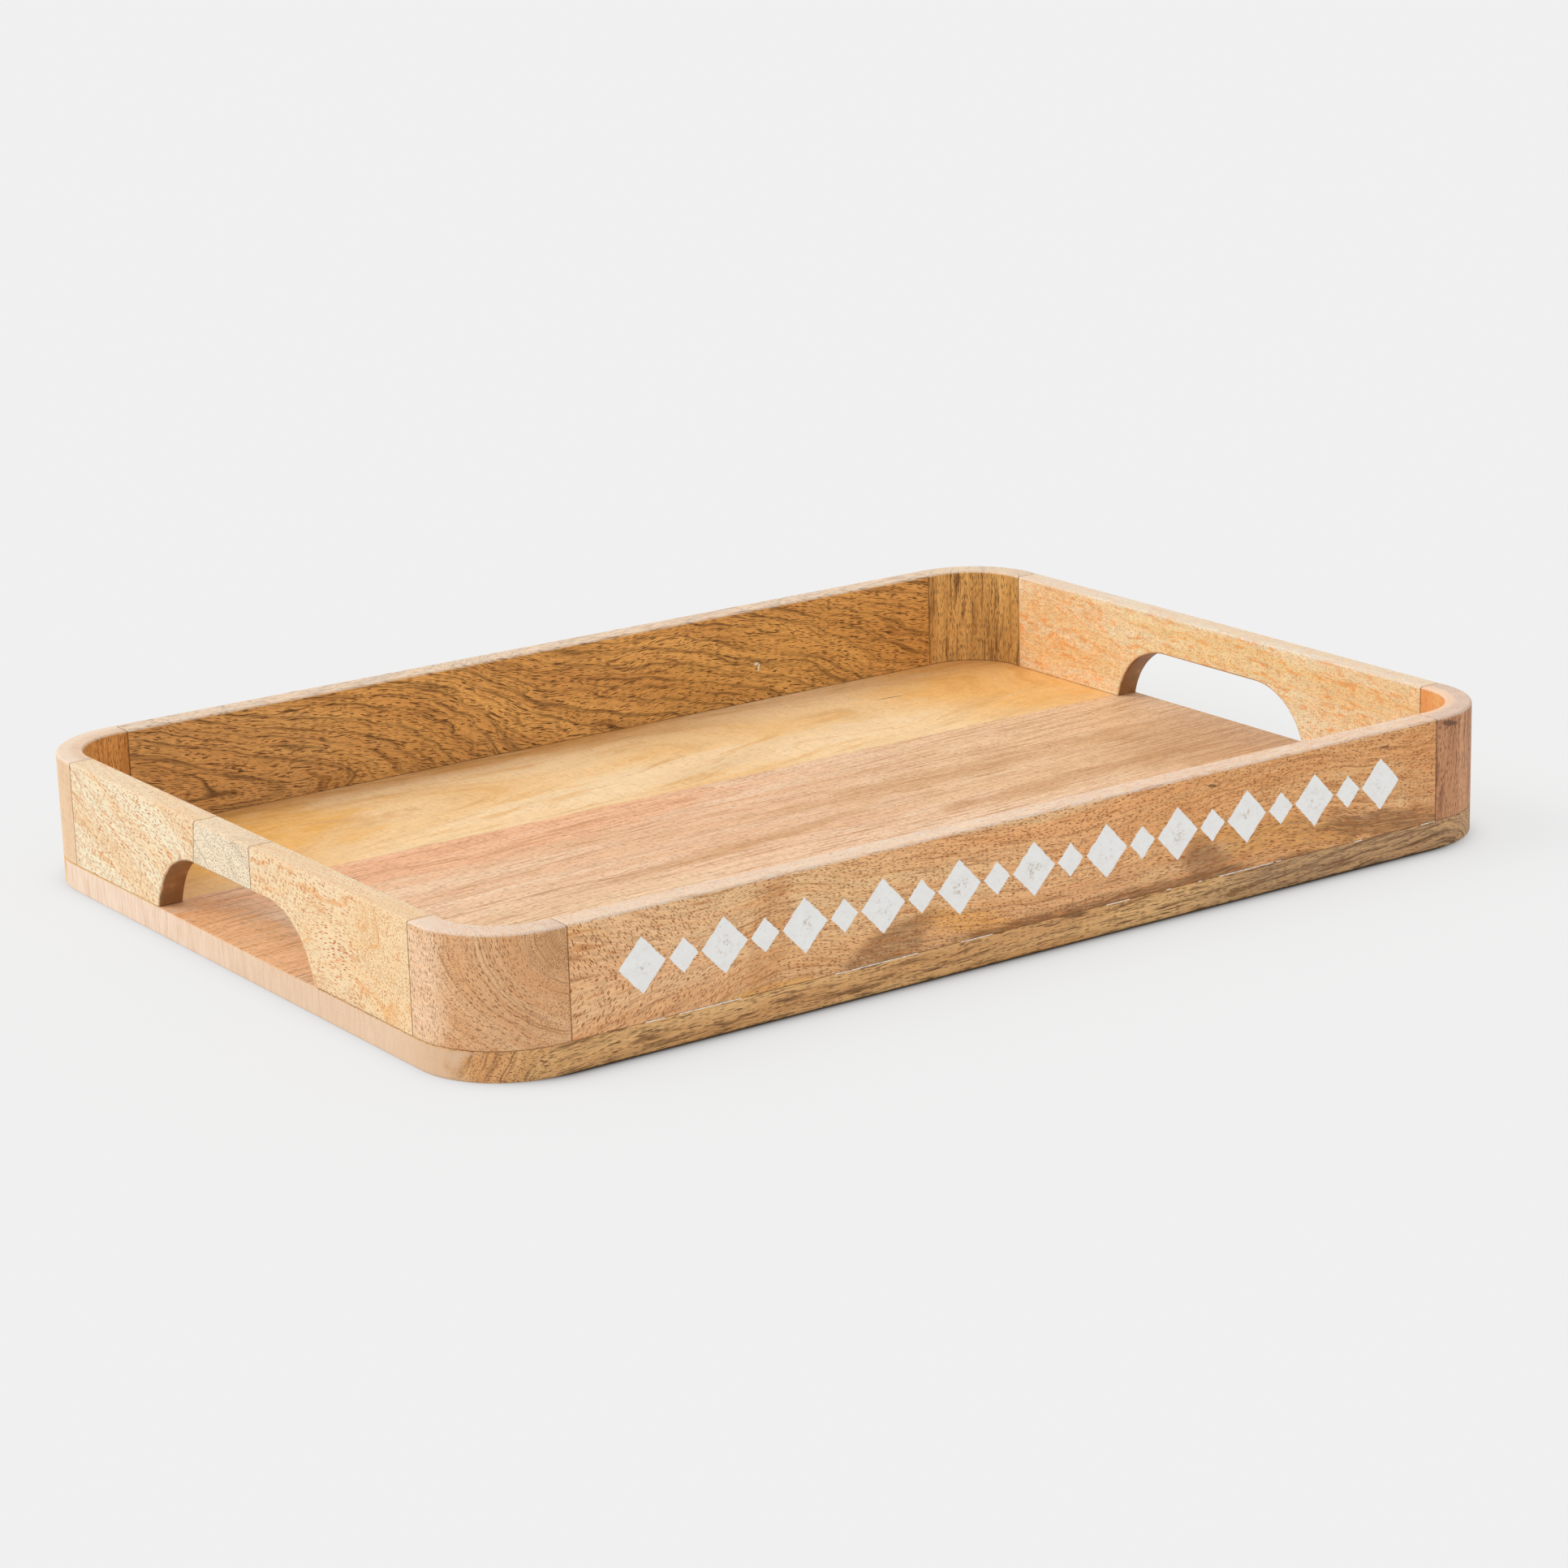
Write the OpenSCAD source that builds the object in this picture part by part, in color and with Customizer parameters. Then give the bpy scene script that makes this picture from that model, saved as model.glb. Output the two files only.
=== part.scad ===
// Wooden serving tray with a row of diamond inlays along each long side.
// Origin: centre of the underside. +X runs along the length, +Y to the back, +Z up.
// The front is the long side at -Y, and the two handles are at -X and +X.

/* [Tray] */
// Outside length of the tray
tray_length = 432; // [400:1:600]
// Outside width of the tray
tray_width = 305; // [260:1:420]
// Height from the table to the rim
tray_height = 48; // [42:1:70]
// Outside radius of the four corners, seen from above
corner_radius = 32; // [26:0.5:34]

/* [Boards] */
// Thickness of the floor boards
floor_thickness = 10.4; // [8.5:0.1:14]
// Distance of each glued floor seam from the tray's centre line
floor_seam = 57; // [30:1:75]
// Thickness of the walls
wall_thickness = 9.5; // [8:0.1:12]
// How far each corner block reaches along both of its walls
block_reach = 35.5; // [35:0.5:45]
// Place of the front seam in the left end wall, across the tray
end_seam_front = -15; // [-22:1:-8]
// Place of the back seam in the left end wall, halfway up the wall
end_seam_back = 30; // [10:1:32]
// Lean of that back seam from the vertical, in degrees
end_seam_lean = 19.5; // [0:0.5:20]

/* [Handles] */
// Width of each handle opening where it meets the floor
handle_span = 108; // [90:1:120]
// Height of each handle opening above the floor
handle_rise = 22; // [16:0.5:25]
// Radius of the two upper corners of a handle opening
handle_radius = 28; // [26:0.5:35]

/* [Inlays] */
// Number of large diamonds in a row, with a small one between each two
large_count = 11; // [3:2:11]
// Distance between the middles of two large diamonds
inlay_pitch = 30.8; // [30.4:0.1:32]
// Width of a large diamond
large_width = 17.7; // [15:0.1:18]
// Height of a large diamond
large_height = 18.9; // [15:0.1:20]
// Width of a small diamond
small_width = 11; // [8:0.1:11.5]
// Height of a small diamond
small_height = 11.6; // [8:0.1:12]
// Depth of the pockets that the inlays fill
inlay_depth = 2; // [1.5:0.1:2.2]

/* [Dowels] */
// Diameter of the hidden dowels
dowel_diameter = 5; // [4:0.5:5]
// Length of the dowels between corner blocks and walls
corner_dowel_length = 20; // [14:1:20]
// How far the upright dowels go down into the floor boards
floor_dowel_drop = 7; // [5:0.5:7]

/* [Hidden] */
$fn = 96;

glue_gap = 0.05;      // glue line between a dowel and its bore, on the radius
over = 1;             // how far a cutting shape runs past the face that it cuts

half_length = tray_length / 2;
half_width = tray_width / 2;
wall_height = tray_height - floor_thickness;
inner_radius = corner_radius - wall_thickness;
seam_x = half_length - block_reach;
seam_y = half_width - block_reach;
wall_mid_x = half_length - wall_thickness / 2;
wall_mid_y = half_width - wall_thickness / 2;

handle_drop = handle_radius - handle_rise;
handle_flat = handle_span / 2 - sqrt(pow(handle_radius, 2) - pow(handle_drop, 2));
handle_centre_z = floor_thickness - handle_drop;

small_count = large_count - 1;
row_z = floor_thickness + wall_height / 2;
function large_x(i) = (i - (large_count - 1) / 2) * inlay_pitch;
function small_x(i) = (i - (small_count - 1) / 2) * inlay_pitch;

dowel_radius = dowel_diameter / 2;
corner_dowel_z = [for (share = [0.27, 0.73]) floor_thickness + share * wall_height];
floor_dowel_rise = min(11, wall_height / 2 - small_height / 2 - 2);
side_dowel_x = [for (half_pitches = [-9, -3, 3, 9]) half_pitches * inlay_pitch / 2];
end_dowel_y = (handle_span / 2 + seam_y) / 2;

// The back seam of the left end wall, as its place across the tray at the height z
function back_seam_y(z) = end_seam_back - (z - row_z) * tan(end_seam_lean);

SIDES = ["front", "back"];
ENDS = ["left", "right"];
function large_name(side, i) = str(side, "_inlay_large_", i + 1);
function small_name(side, i) = str(side, "_inlay_small_", i + 1);
function block_name(side, end) = str("corner_block_", side, "_", end);

// ---- Outlines, seen from above ----

module rounded_rectangle(length, width, radius) {
    square([length - 2 * radius, width], center = true);
    square([length, width - 2 * radius], center = true);
    for (x = [-1, 1], y = [-1, 1])
        translate([x * (length / 2 - radius), y * (width / 2 - radius)]) circle(radius);
}

module tray_outline() {
    rounded_rectangle(tray_length, tray_width, corner_radius);
}

module wall_outline() {
    difference() {
        tray_outline();
        rounded_rectangle(
            tray_length - 2 * wall_thickness, tray_width - 2 * wall_thickness, inner_radius);
    }
}

// ---- Dowels and their bores ----

// Bars on the lines of the corner dowels, centred on the seams
module corner_dowel_bars(radius, length) {
    for (x = [-1, 1], y = [-1, 1], z = corner_dowel_z) {
        translate([x * seam_x, y * wall_mid_y, z]) rotate([0, 90, 0])
            cylinder(r = radius, h = length, center = true);
        translate([x * wall_mid_x, y * seam_y, z]) rotate([90, 0, 0])
            cylinder(r = radius, h = length, center = true);
    }
}

// Upright bars on the lines of the floor dowels
module floor_dowel_bars(radius, end_gap) {
    places = concat(
        [for (x = side_dowel_x, y = [-1, 1]) [x, y * wall_mid_y]],
        [for (x = [-1, 1], y = [-1, 1]) [x * wall_mid_x, y * end_dowel_y]]
    );
    for (place = places)
        translate([place.x, place.y, floor_thickness - floor_dowel_drop - end_gap])
            cylinder(r = radius, h = floor_dowel_drop + floor_dowel_rise + 2 * end_gap);
}

module dowel_bores() {
    corner_dowel_bars(dowel_radius + glue_gap, corner_dowel_length + 2 * glue_gap);
    floor_dowel_bars(dowel_radius + glue_gap, glue_gap);
}

module corner_dowels() {
    color("burlywood") corner_dowel_bars(dowel_radius, corner_dowel_length);
}

module floor_dowels() {
    color("burlywood") floor_dowel_bars(dowel_radius, 0);
}

// ---- Floor ----

// One floor board, between two lines that run the length of the tray
module floor_board(y_low, y_high) {
    difference() {
        linear_extrude(floor_thickness) intersection() {
            tray_outline();
            translate([-tray_length, y_low]) square([2 * tray_length, y_high - y_low]);
        }
        dowel_bores();
    }
}

module floor_board_back() {
    color("goldenrod") floor_board(floor_seam, half_width);
}

module floor_board_middle() {
    color("burlywood") floor_board(-floor_seam, floor_seam);
}

module floor_board_front() {
    color("tan") floor_board(-half_width, -floor_seam);
}

// ---- Long walls and their inlays ----

module diamond(width, height, depth) {
    rotate([90, 0, 0]) linear_extrude(depth)
        polygon([[-width / 2, 0], [0, -height / 2], [width / 2, 0], [0, height / 2]]);
}

// Diamonds on the front wall, starting a depth inside the face and running past it by past
module front_inlay_large(i, past = 0) {
    translate([large_x(i), inlay_depth - half_width, row_z])
        diamond(large_width, large_height, inlay_depth + past);
}

module front_inlay_small(i, past = 0) {
    translate([small_x(i), inlay_depth - half_width, row_z])
        diamond(small_width, small_height, inlay_depth + past);
}

// Turns the front of the tray to the back
module at_side(side) {
    rotate([0, 0, side == "front" ? 0 : 180]) children();
}

module inlay_large(side, i) {
    color("whitesmoke") at_side(side) front_inlay_large(side == "front" ? i : large_count - 1 - i);
}

module inlay_small(side, i) {
    color("whitesmoke") at_side(side) front_inlay_small(side == "front" ? i : small_count - 1 - i);
}

module long_wall(side) {
    difference() {
        at_side(side) difference() {
            translate([-seam_x, -half_width, floor_thickness])
                cube([2 * seam_x, wall_thickness, wall_height]);
            for (i = [0:large_count - 1]) front_inlay_large(i, over);
            for (i = [0:small_count - 1]) front_inlay_small(i, over);
        }
        dowel_bores();
    }
}

module front_wall() {
    color("peru") long_wall("front");
}

module back_wall() {
    color("peru") long_wall("back");
}

// ---- End walls with their handle openings ----

// The handle opening, drawn across the tray and up
module handle_outline() {
    translate([0, handle_centre_z]) {
        for (y = [-1, 1]) translate([y * handle_flat, 0]) circle(handle_radius);
        translate([-handle_flat, -handle_radius]) square([2 * handle_flat, 2 * handle_radius]);
    }
}

// A board of an end wall. corners are its outline across the tray and up.
module end_board(end, corners) {
    difference() {
        translate([end == "left" ? -half_length : half_length - wall_thickness, 0, 0])
            rotate([90, 0, 90]) linear_extrude(wall_thickness) difference() {
                polygon(corners);
                handle_outline();
            }
        dowel_bores();
    }
}

module right_end_wall() {
    color("sandybrown") end_board("right", [
        [-seam_y, floor_thickness], [seam_y, floor_thickness],
        [seam_y, tray_height], [-seam_y, tray_height]
    ]);
}

module left_end_board_back() {
    color("wheat") end_board("left", [
        [back_seam_y(floor_thickness), floor_thickness], [seam_y, floor_thickness],
        [seam_y, tray_height], [back_seam_y(tray_height), tray_height]
    ]);
}

module left_end_board_middle() {
    color("antiquewhite") end_board("left", [
        [end_seam_front, floor_thickness], [back_seam_y(floor_thickness), floor_thickness],
        [back_seam_y(tray_height), tray_height], [end_seam_front, tray_height]
    ]);
}

module left_end_board_front() {
    color("wheat") end_board("left", [
        [-seam_y, floor_thickness], [end_seam_front, floor_thickness],
        [end_seam_front, tray_height], [-seam_y, tray_height]
    ]);
}

// ---- Corner blocks ----

module corner_block(side, end) {
    x = end == "left" ? -1 : 1;
    y = side == "front" ? -1 : 1;
    color("tan") difference() {
        translate([0, 0, floor_thickness]) linear_extrude(wall_height) intersection() {
            wall_outline();
            translate([x * (seam_x + block_reach), y * (seam_y + block_reach)])
                square(2 * block_reach, center = true);
        }
        dowel_bores();
    }
}

// ---- The tray ----

floor_board_back();
floor_board_middle();
floor_board_front();
front_wall();
back_wall();
right_end_wall();
left_end_board_back();
left_end_board_middle();
left_end_board_front();
for (side = SIDES, end = ENDS)
    corner_block(side, end);
for (side = SIDES, i = [0:large_count - 1])
    inlay_large(side, i);
for (side = SIDES, i = [0:small_count - 1])
    inlay_small(side, i);
corner_dowels();
floor_dowels();
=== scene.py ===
"""Wooden serving tray with a row of resin diamonds along each long side."""

import math

import bmesh
import bpy
from mathutils import Matrix, Vector


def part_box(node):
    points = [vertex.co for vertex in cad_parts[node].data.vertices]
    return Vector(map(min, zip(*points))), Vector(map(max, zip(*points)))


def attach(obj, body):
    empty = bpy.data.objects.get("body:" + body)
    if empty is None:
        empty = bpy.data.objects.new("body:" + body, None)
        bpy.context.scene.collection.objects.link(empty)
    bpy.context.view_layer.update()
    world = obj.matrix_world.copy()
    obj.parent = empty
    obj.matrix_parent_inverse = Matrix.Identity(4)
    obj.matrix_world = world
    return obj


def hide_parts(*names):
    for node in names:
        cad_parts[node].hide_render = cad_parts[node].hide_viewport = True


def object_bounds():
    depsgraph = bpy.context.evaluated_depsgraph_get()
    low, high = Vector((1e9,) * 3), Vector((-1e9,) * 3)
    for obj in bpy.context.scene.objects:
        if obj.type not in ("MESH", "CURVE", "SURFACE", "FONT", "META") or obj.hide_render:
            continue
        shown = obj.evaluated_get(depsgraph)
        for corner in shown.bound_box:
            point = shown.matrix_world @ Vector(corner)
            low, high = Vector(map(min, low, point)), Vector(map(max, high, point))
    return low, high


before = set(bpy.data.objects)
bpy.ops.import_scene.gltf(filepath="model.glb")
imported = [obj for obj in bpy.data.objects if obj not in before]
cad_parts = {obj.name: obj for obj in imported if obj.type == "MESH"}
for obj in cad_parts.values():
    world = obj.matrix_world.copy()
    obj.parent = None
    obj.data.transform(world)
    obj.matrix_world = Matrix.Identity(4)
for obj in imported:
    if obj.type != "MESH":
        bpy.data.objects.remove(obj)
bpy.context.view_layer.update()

MM = 0.001
MM_PER_M = 1000.0

# ---- Sizes, taken from the frame ----

HALF_LENGTH, HALF_WIDTH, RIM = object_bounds()[1]
FLOOR_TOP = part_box("floor_board_middle")[1].z
FLOOR_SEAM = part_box("floor_board_back")[0].y
SEAM_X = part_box("front_wall")[1].x
SEAM_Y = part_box("right_end_wall")[1].y
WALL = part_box("front_wall")[1].y + HALF_WIDTH
FRONT_SEAM_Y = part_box("left_end_board_front")[1].y
BACK_SEAM_TOP_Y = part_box("left_end_board_back")[0].y
BACK_SEAM_FOOT_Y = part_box("left_end_board_middle")[1].y
LARGE_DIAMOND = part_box("front_inlay_large_1")
SMALL_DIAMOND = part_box("front_inlay_small_1")
DIAMOND_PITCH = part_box("front_inlay_large_2")[0].x - LARGE_DIAMOND[0].x
ROW_HEIGHT = (LARGE_DIAMOND[0].z + LARGE_DIAMOND[1].z) / 2
LARGE_COUNT = 11
SMALL_COUNT = LARGE_COUNT - 1

# Sizes that the boxes don't tell: the corners, and the arches of the handle openings
CORNER_RADIUS = 32 * MM
HANDLE_RADIUS = 28 * MM
HANDLE_FLAT = 26.65 * MM
HANDLE_CENTRE = 4.4 * MM
ARC_STEPS = 32            # straight pieces in a quarter circle

RIM_EASE = 1.0 * MM       # sandpaper rounding of the rim, the foot and the handles
SEAM_EASE = 0.24          # glued edges are only just broken, as a share of RIM_EASE
RESIN_EASE = 0.12 * MM    # softening of the edge where a diamond meets the wood
CUTTER_PAST = 1 * MM      # how far a pocket cutter stands out of the wall's face
SHARP = math.radians(25)  # an edge that turns more than this is broken

ALONG_TRAY = (1, 0, 0)
ACROSS_TRAY = (0, 1, 0)
UPRIGHT = (0, 0, 1)


# ---- Colours ----

PALEST = 0.92             # the most light that a surface gives back


def shade(red, green, blue, light=1.0):
    """The linear colour of a surface that looks like this sRGB colour under that much light"""
    linear = []
    for channel in (red, green, blue):
        share = channel / 255
        value = share / 12.92 if share < 0.04045 else ((share + 0.055) / 1.055) ** 2.4
        linear.append(min(value / light, PALEST))
    return (*linear, 1.0)


# ---- Nodes ----

RELIEF = 0.25 * MM        # depth of the deepest open vessel
SHEEN = 0.3               # specular level of sanded wood and resin


class Nodes:
    """A node tree in the making. Each method adds a node and gives back what comes out of it."""

    def node(self, kind, inputs, output=0, **settings):
        made = self.tree.nodes.new(kind)
        for key, value in settings.items():
            setattr(made, key, value)
        for key, value in inputs.items():
            if isinstance(value, bpy.types.NodeSocket):
                self.link(value, made.inputs[key])
            else:
                made.inputs[key].default_value = value
        return made.outputs[output]

    def link(self, value, socket):
        self.tree.links.new(value, socket)

    def math(self, operation, *values):
        return self.node("ShaderNodeMath", dict(enumerate(values)), operation=operation)


class Recipe(Nodes):
    """A material in the making, laid out in the tray's own coordinates"""

    def __init__(self, name):
        self.material = bpy.data.materials.new(name)
        self.material.use_nodes = True
        self.tree = self.material.node_tree
        self.tree.nodes.clear()
        self.place = self.node("ShaderNodeTexCoord", {}, "Object")

    def add(self, a, b):
        return self.math("ADD", a, b)

    def times(self, a, b):
        return self.math("MULTIPLY", a, b)

    def hypotenuse(self, a, b):
        return self.math("SQRT", self.add(self.times(a, a), self.times(b, b)))

    def plus_share(self, base, share, amount):
        """base + share * amount"""
        return self.math("MULTIPLY_ADD", share, amount, base)

    def fit(self, value, low, high, out_low=0.0, out_high=1.0):
        """value from low to high, eased into out_low to out_high"""
        inputs = {"Value": value, "From Min": low, "From Max": high,
                  "To Min": out_low, "To Max": out_high}
        return self.node("ShaderNodeMapRange", inputs, interpolation_type="SMOOTHSTEP")

    def dot(self, direction):
        """Distance along a direction, in mm"""
        scaled = tuple(MM_PER_M * part for part in direction)
        return self.node("ShaderNodeVectorMath", {0: self.place, 1: scaled}, "Value",
                         operation="DOT_PRODUCT")

    def corner_reach(self, half_length, half_width):
        """How far a place lies from the centre of the nearest rounded corner, in mm"""
        gaps = []
        for way, half in ((ALONG_TRAY, half_length), (ACROSS_TRAY, half_width)):
            gap = self.add(self.math("ABSOLUTE", self.dot(way)), (CORNER_RADIUS - half) * MM_PER_M)
            gaps.append(self.math("MAXIMUM", gap, 0.0))
        return self.hypotenuse(*gaps)

    def cell_place(self, parts, sizes, seed):
        """The parts of a place, counted in cells of those sizes, shifted by the seed"""
        counted = {}
        for axis, (part, size) in enumerate(zip(parts, sizes)):
            counted[axis] = self.math("MULTIPLY_ADD", part, 1 / size, seed * (axis + 1.37))
        return self.node("ShaderNodeCombineXYZ", counted)

    def noise(self, place, detail=2.0, roughness=0.5, output="Fac"):
        inputs = {"Vector": place, "Scale": 1.0, "Detail": detail, "Roughness": roughness}
        return self.node("ShaderNodeTexNoise", inputs, output)

    def split(self, colour):
        return tuple(self.node("ShaderNodeSeparateXYZ", {0: colour}).node.outputs)

    def mix(self, share, a, b, blend="MIX"):
        return self.node("ShaderNodeMix", {0: share, 6: a, 7: b}, 2,
                         data_type="RGBA", blend_type=blend, clamp_factor=True)

    def spot(self, rag, centre, size, tilt, turn, ragged, core=0.6):
        """How far inside an oval spot a point is. Sizes are half widths in mm, tilt is in degrees
        round the turn axis, and the spot fades from its core, a share of its size, to its rim."""
        turned = {"X": ALONG_TRAY, "Y": ACROSS_TRAY, "Z": UPRIGHT}[turn]
        inputs = {
            "Vector": self.place,
            "Location": tuple(part * MM for part in centre),
            "Rotation": tuple(math.radians(tilt) * part for part in turned),
            "Scale": tuple(part * MM for part in size),
        }
        local = self.node("ShaderNodeMapping", inputs, vector_type="TEXTURE")
        reach = self.node("ShaderNodeVectorMath", {0: local}, "Value", operation="LENGTH")
        reach = self.plus_share(reach, self.add(rag, -0.5), 2 * ragged)
        return self.fit(reach, 1.0, core)

    def finish(self, colour, roughness, height, bump):
        """A sanded and lightly oiled surface"""
        relief = self.node("ShaderNodeBump", {"Strength": bump, "Distance": RELIEF,
                                              "Height": height}, "Normal")
        return self.show({"Base Color": colour, "Roughness": roughness, "Normal": relief,
                          "Specular IOR Level": SHEEN})

    def show(self, inputs):
        """The material, with a surface of these inputs"""
        surface = self.node("ShaderNodeBsdfPrincipled", inputs)
        output = self.tree.nodes.new("ShaderNodeOutputMaterial")
        self.link(surface, output.inputs["Surface"])
        return self.material


# ---- Wood ----

PORE_REACH = 0.36         # half the length of the largest vessel, as a share of its room
PORE_EDGE = 0.07          # how softly a vessel ends, as a share of its room
ARC_REACH = 34.0          # mm from the pith at which dashes along the rings have their true length
GLUE_LINE = 0.12          # half width of a glue line in mm, and where it has faded out
GLUE_FADE = 0.42
RIM_CORE = 0.5            # mm below the rim where its paler wood is whole, and where it ends
RIM_FADE = 1.1


def grain(recipe, along, across, seed, sway=6.0, ripple=0.8, bends=(), fans=(), pith=(300, 60),
          tilt=0.0):
    """Where a point lies in its board, in mm: u along the fibres, v and w across them, r its
    distance from the pith of the log, and around its way round it. rag and drift are a quick and
    a slow noise. sway and ripple are how far the fibres wander, slowly and quickly. Bends are
    (place along, half length, rise), and fans, where the fibres spread, are (place along, half
    length, place across, share). pith is the heart of the log, and tilt how it leans."""
    along = Vector(along).normalized()
    across = Vector(across)
    across = (across - along * across.dot(along)).normalized()
    deep = along.cross(across)
    u = recipe.dot(along)
    v = recipe.dot(across)
    w = recipe.dot(deep)
    slow = recipe.noise(recipe.cell_place((u, v, w), (95, 38, 38), seed), 1.0, 0.4, "Color")
    quick = recipe.noise(recipe.cell_place((u, v, w), (17, 7, 7), seed + 3), 1.0, 0.5, "Color")
    drift, slow_v, slow_w = recipe.split(slow)
    rag, quick_v, quick_w = recipe.split(quick)
    v = recipe.plus_share(v, recipe.add(slow_v, -0.5), 2 * sway)
    w = recipe.plus_share(w, recipe.add(slow_w, -0.5), 2 * sway)
    v = recipe.plus_share(v, recipe.add(quick_v, -0.5), 2 * ripple)
    w = recipe.plus_share(w, recipe.add(quick_w, -0.5), 2 * ripple)
    for at, reach, rise in bends:
        offset = recipe.math("ABSOLUTE", recipe.add(u, -at))
        v = recipe.add(v, recipe.fit(offset, 0, reach, rise, 0))
    for at, reach, centre, spread in fans:
        offset = recipe.math("ABSOLUTE", recipe.add(u, -at))
        opened = recipe.fit(offset, 0, reach, -spread, 0)
        v = recipe.plus_share(v, recipe.add(v, -centre), opened)
    side = recipe.add(v, -pith[0])
    depth = recipe.plus_share(recipe.add(w, -pith[1]), u, tilt)
    r = recipe.hypotenuse(side, depth)
    around = recipe.times(recipe.math("ARCTAN2", side, depth), ARC_REACH)
    return {"u": u, "v": v, "w": w, "r": r, "around": around, "rag": rag, "drift": drift,
            "seed": seed}


def pores(recipe, run, sizes, share, shift=0.0, turn=0.0):
    """The small dark vessels of the wood, from 0 to 1. Sizes are the room that each one has, in
    mm along u, v and w, and share is how many of the places hold one. turn is in degrees, or
    "rings" where they lie along the growth rings."""
    u, v, w = run["u"], run["v"], run["w"]
    if turn == "rings":
        u, v, w = run["around"], run["r"], run["u"]
    elif turn:
        cos, sin = math.cos(math.radians(turn)), math.sin(math.radians(turn))
        u, v = (recipe.plus_share(recipe.times(u, cos), v, sin),
                recipe.plus_share(recipe.times(v, cos), u, -sin))
    place = recipe.cell_place((u, v, w), sizes, run["seed"] + shift)
    distance = recipe.node("ShaderNodeTexVoronoi", {"Scale": 1.0, "Vector": place}, "Distance")
    chance = recipe.split(distance.node.outputs["Color"])[0]
    crowd_place = recipe.cell_place((run["u"], run["r"], run["w"]), (26, 3.0, 9), run["seed"] + 5)
    crowd = recipe.add(recipe.noise(crowd_place), -0.5)
    size = recipe.plus_share(chance, crowd, -0.8)
    radius = recipe.fit(size, share, share - 0.5, 0.0, PORE_REACH)
    return recipe.fit(recipe.math("SUBTRACT", distance, radius), PORE_EDGE, -PORE_EDGE)


def all_pores(recipe, run, sizes, share, others):
    """A board's vessels, and in areas of their own the others, which lie another way"""
    dashes = pores(recipe, run, sizes, share)
    for other_sizes, other_share, turn, area in others:
        turned = pores(recipe, run, other_sizes, other_share, 20.0, turn)
        inside = recipe.spot(run["rag"], *area)
        dashes = recipe.add(recipe.times(dashes, recipe.math("SUBTRACT", 1.0, inside)),
                            recipe.times(turned, inside))
    return dashes


def growth_rings(recipe, run, streak, rings, ring_width):
    """The dark line of each growth ring, and how far it darkens the wood"""
    uneven = recipe.noise(recipe.cell_place((run["r"], 0.0, 0.0), (2.5 * ring_width, 1, 1),
                                            run["seed"] + 23))
    turns = recipe.plus_share(recipe.times(run["r"], 1 / ring_width), uneven, 3.0)
    turns = recipe.plus_share(turns, run["drift"], 1.5)
    late = recipe.math("FRACT", turns)
    line = recipe.times(recipe.fit(late, 0.55, 0.92), recipe.fit(late, 1.0, 0.92))
    return line, recipe.fit(streak, 0.36, 0.6, -0.3 * rings, -rings)


def glue_lines(recipe, rag, extra_seams):
    """How close a point is to a glued seam, from 0 to 1"""
    to_block_x = recipe.add(recipe.math("ABSOLUTE", recipe.dot(ALONG_TRAY)), -SEAM_X * MM_PER_M)
    to_block_y = recipe.add(recipe.math("ABSOLUTE", recipe.dot(ACROSS_TRAY)), -SEAM_Y * MM_PER_M)
    to_floor = recipe.add(recipe.dot(UPRIGHT), -FLOOR_TOP * MM_PER_M)
    gaps = [to_block_x, to_block_y, to_floor]
    for direction, distance in extra_seams:
        gaps.append(recipe.add(recipe.dot(direction), -distance))
    nearest = 10.0
    for gap in gaps:
        nearest = recipe.math("MINIMUM", recipe.math("ABSOLUTE", gap), nearest)
    nearest = recipe.plus_share(nearest, recipe.add(rag, -0.5), 0.35)
    return recipe.fit(nearest, GLUE_FADE, GLUE_LINE)


def pale_rim(recipe, colour, fine, rim_colour, share):
    """Paler wood on the sanded rim, with a little of the board's own figure"""
    rim = RIM * MM_PER_M
    on_rim = recipe.fit(recipe.dot(UPRIGHT), rim - RIM_FADE, rim - RIM_CORE, 0.0, share)
    faded = recipe.mix(recipe.fit(fine, 0.34, 0.7, 0.0, 0.65), rim_colour, colour)
    return recipe.mix(on_rim, colour, faded)


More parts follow.
